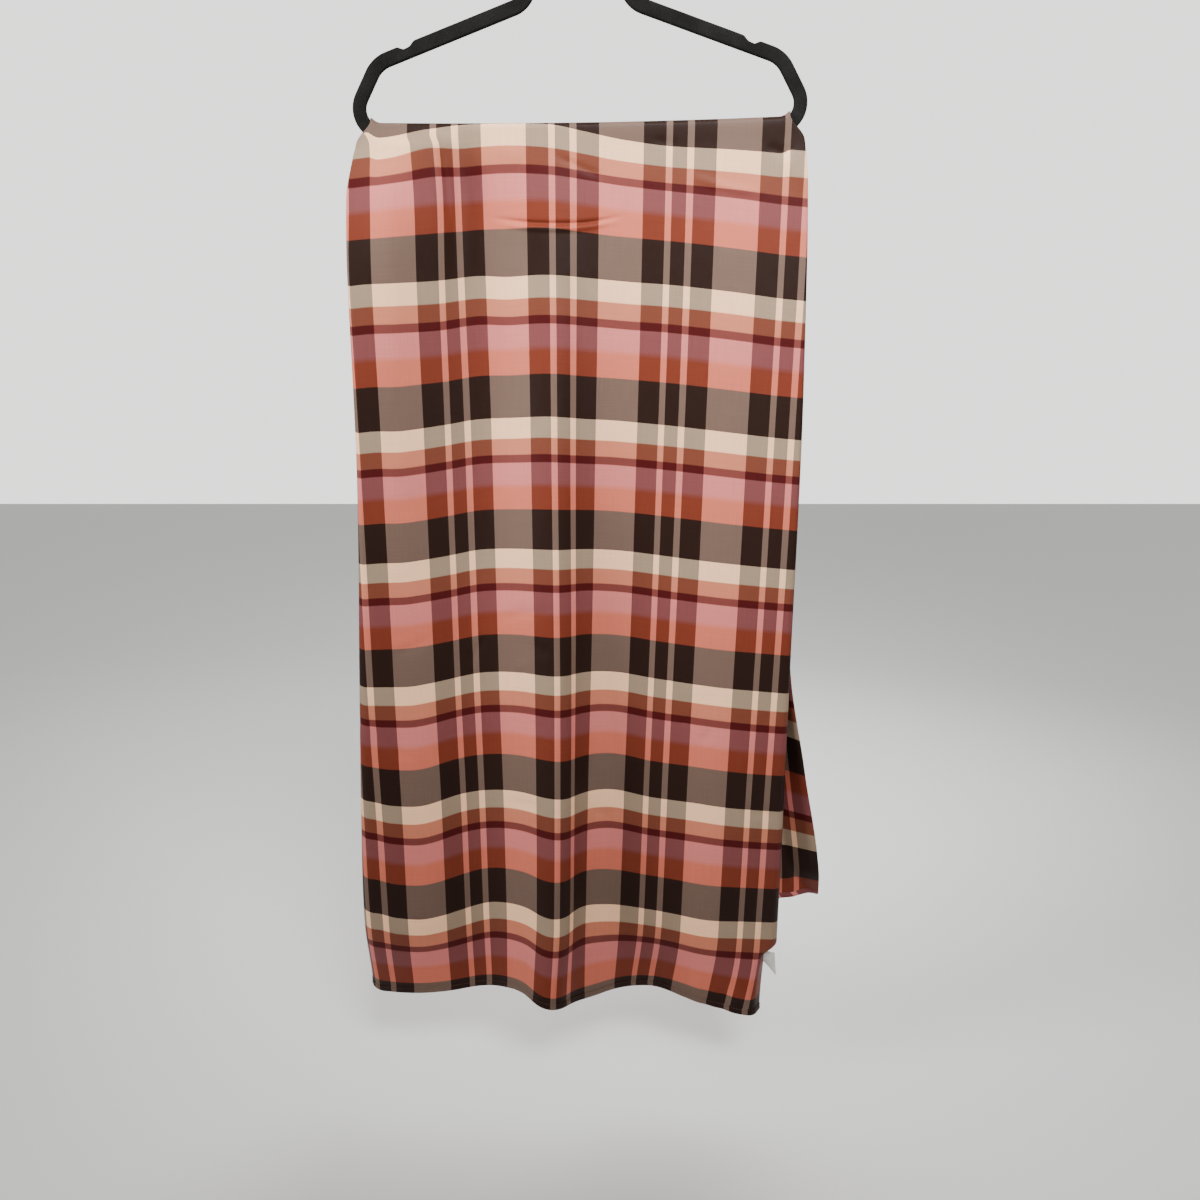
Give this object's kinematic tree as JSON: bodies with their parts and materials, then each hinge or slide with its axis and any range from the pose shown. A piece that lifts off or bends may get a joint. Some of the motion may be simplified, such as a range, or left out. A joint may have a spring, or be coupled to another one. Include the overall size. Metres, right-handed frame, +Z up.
{
  "type": "long scarf on hanger",
  "caption": "Long woven plaid scarf draped over the bar of a slim flocked hanger, front and back drops hanging in soft folds.",
  "frame": {"origin": "the inside top of the hook, where a rail carries the hanger", "axes": "+Z up, -Y towards the front drop's face, +X to the right as seen from the front"},
  "size_m": [0.5413, 0.1142, 1.2211],
  "materials": {
    "plaid_cloth": "light woven plaid with a slight satin lustre",
    "label_tape": "blank satin tape",
    "black_flock": "black flocked plastic",
    "hook_steel": "bright plated wire"
  },
  "bodies": {
    "root": {"scarf_front": "plaid_cloth", "scarf_back": "plaid_cloth", "care_label": "label_tape", "hanger_body": "black_flock", "hanger_neck": "black_flock", "hanger_hook": "hook_steel"}
  },
  "joints": []
}
